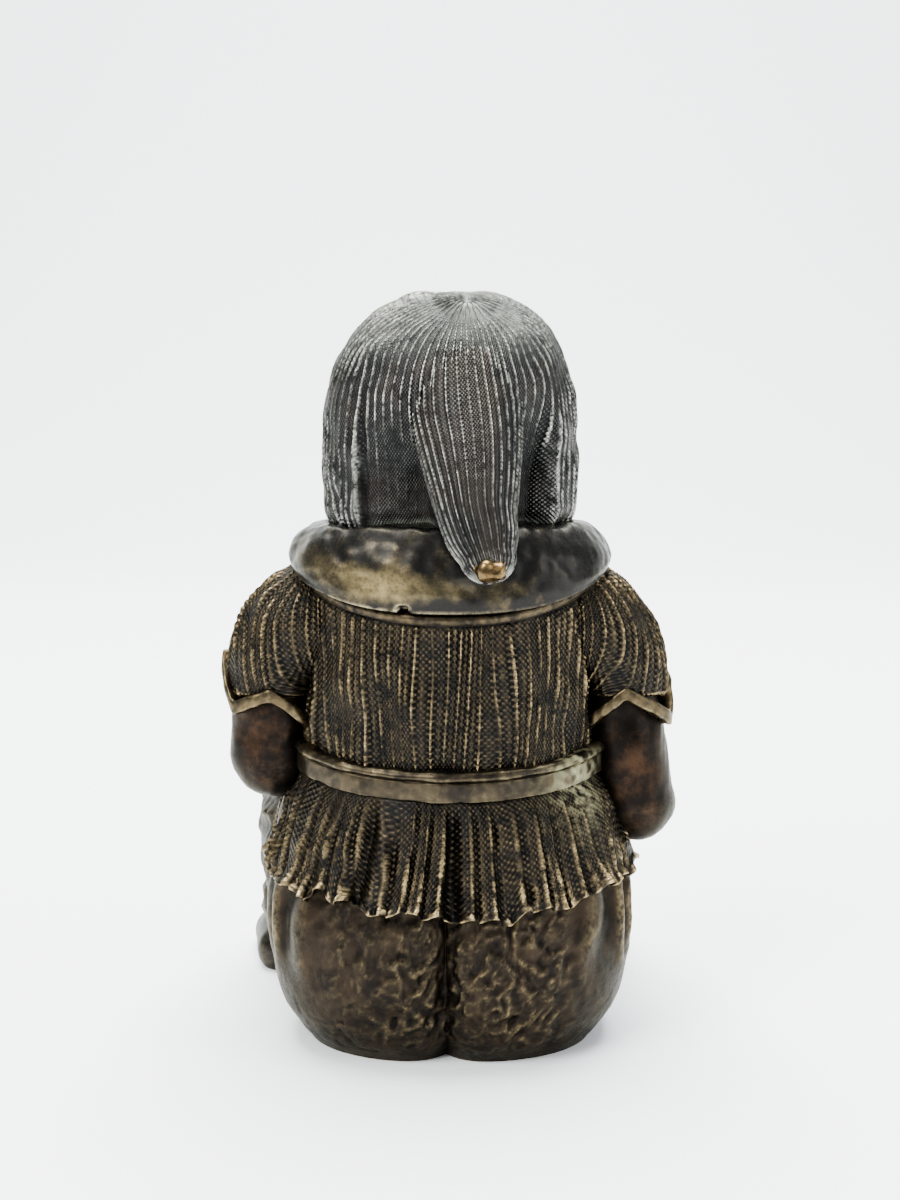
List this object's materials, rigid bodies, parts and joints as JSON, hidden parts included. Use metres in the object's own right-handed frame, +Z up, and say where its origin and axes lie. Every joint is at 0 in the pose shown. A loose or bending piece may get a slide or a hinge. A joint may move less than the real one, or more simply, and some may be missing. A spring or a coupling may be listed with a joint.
{
  "type": "gnome statue",
  "caption": "Seated gnome in a knitted hat, cast in bronze as a small box: hollow body, and a head with collar that lifts off as its lid.",
  "frame": {"origin": "middle of the flat underside of the seat, on the floor", "axes": "+Z up; the gnome faces -Y and +X is its left, so its back is towards +Y"},
  "size_m": [0.0668, 0.0724, 0.1077],
  "materials": {
    "body_bronze": "cast bronze, brown-black patina rubbed golden on the crests, dry verdigris in the hollows",
    "lid_bronze": "cast bronze, blackish patina with a satin sheen, collar polished golden brown"
  },
  "bodies": {
    "root": {"figure_body": "body_bronze", "head_lid": "lid_bronze"}
  },
  "joints": []
}
